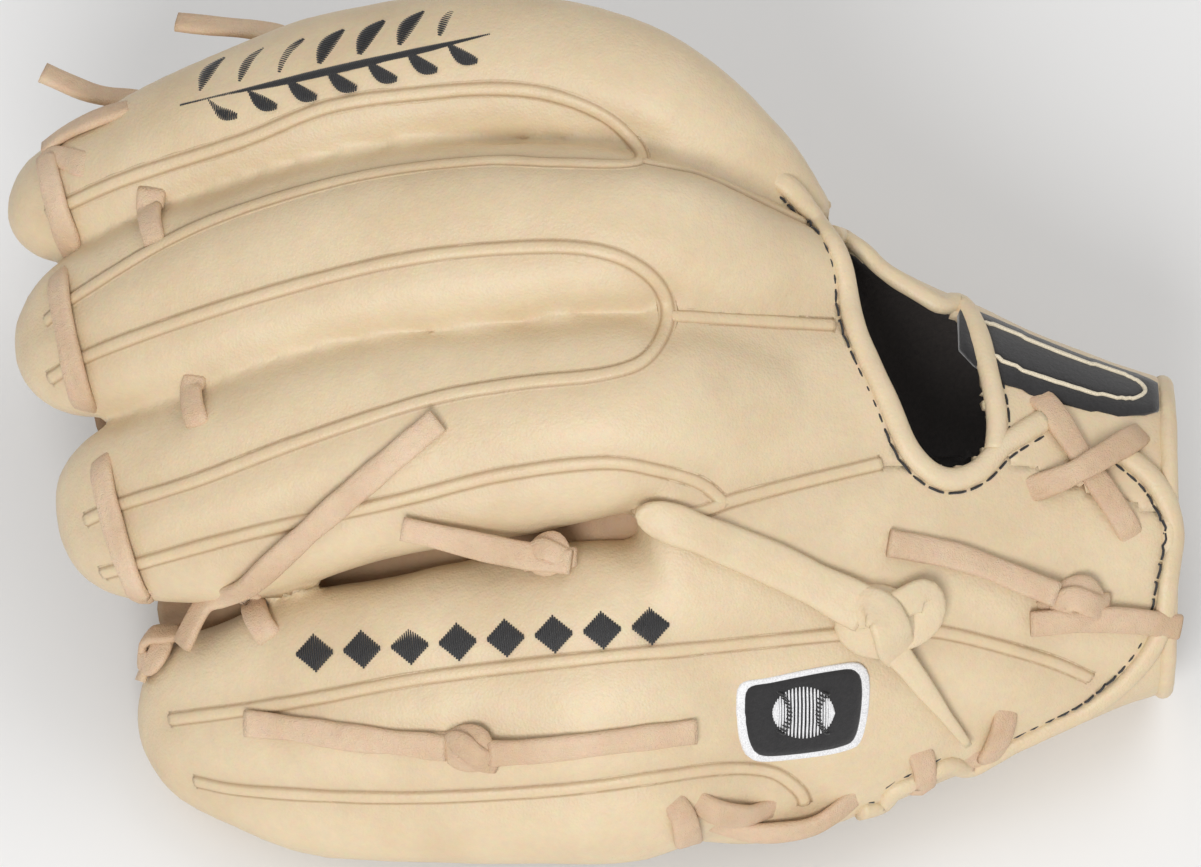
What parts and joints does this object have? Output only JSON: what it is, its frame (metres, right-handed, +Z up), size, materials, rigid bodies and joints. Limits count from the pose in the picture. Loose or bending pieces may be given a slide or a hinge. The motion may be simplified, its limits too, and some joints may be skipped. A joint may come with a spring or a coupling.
{
  "type": "baseball glove",
  "caption": "Open-back leather baseball glove for the left hand: four finger stalls, a thumb joined by a web, laced seams, a laced wrist strap and a ball pocket.",
  "frame": {"origin": "centre of the bounding box in X and Y, on the ground the glove lies on, lace tails left out", "axes": "+Z up, fingers towards -X and wrist towards +X, thumb and index side +Y; the glove lies on its thumb, the heel and the little-finger edge with the back of the hand facing up and towards -Y"},
  "size_m": [0.2828, 0.206, 0.1375],
  "materials": {
    "shell_leather": "smooth, lightly grained, waxed",
    "palm_leather": "smooth, oiled",
    "lining_leather": "soft, matte",
    "wool_felt": "felted",
    "embroidery": "satin stitched",
    "rawhide_lace": "split rawhide, suede edges"
  },
  "bodies": {
    "hand": {"index_back": "shell_leather", "middle_back": "shell_leather", "ring_back": "shell_leather", "index_front": "palm_leather", "middle_front": "palm_leather", "ring_front": "palm_leather", "index_liner": "lining_leather", "middle_liner": "lining_leather", "ring_liner": "lining_leather", "back_panel": "shell_leather", "back_lining": "lining_leather", "palm_panel": "palm_leather", "palm_felt": "wool_felt", "palm_lining": "lining_leather", "opening_binding": "shell_leather", "wrist_strap": "shell_leather", "strap_binding": "shell_leather", "strap_patch": "embroidery", "badge_patch": "embroidery", "index_emblem": "embroidery", "fingertip_laces": "rawhide_lace", "crotch_laces": "rawhide_lace", "heel_laces": "rawhide_lace", "cross_laces": "rawhide_lace", "strap_band": "shell_leather", "strap_knot": "shell_leather", "tip_knot": "rawhide_lace", "tip_tail": "rawhide_lace", "ring_knot": "rawhide_lace", "ring_tail": "rawhide_lace", "wrist_knot": "rawhide_lace", "wrist_tail_in": "rawhide_lace", "wrist_tail_out": "rawhide_lace", "heel_pad": "wool_felt"},
    "thumb": {"thumb_back": "shell_leather", "thumb_front": "palm_leather", "thumb_liner": "lining_leather", "thumb_stay": "wool_felt", "web_pocket": "palm_leather", "web_base": "palm_leather", "web_post": "palm_leather", "web_top": "palm_leather", "web_laces": "rawhide_lace", "web_tail_a": "rawhide_lace", "web_tail_b": "rawhide_lace"},
    "pinky": {"pinky_back": "shell_leather", "pinky_front": "palm_leather", "pinky_liner": "lining_leather", "pinky_stay": "wool_felt", "pinky_emblem": "embroidery", "pinky_knot": "rawhide_lace", "pinky_tail": "rawhide_lace"}
  },
  "joints": [
    {"name": "thumb_fold", "type": "hinge", "parent": "hand", "child": "thumb", "pos_m": [-0.0927, 0.07446, 0.08954], "axis": [0.9946, -0.1, 0.0277], "range_deg": [-4, 10], "stiffness_Nm_per_rad": 8},
    {"name": "pinky_fold", "type": "hinge", "parent": "hand", "child": "pinky", "pos_m": [-0.1067, -0.02625, 0.01482], "axis": [0.9204, -0.0336, 0.3894], "range_deg": [-3, 8], "stiffness_Nm_per_rad": 8}
  ]
}
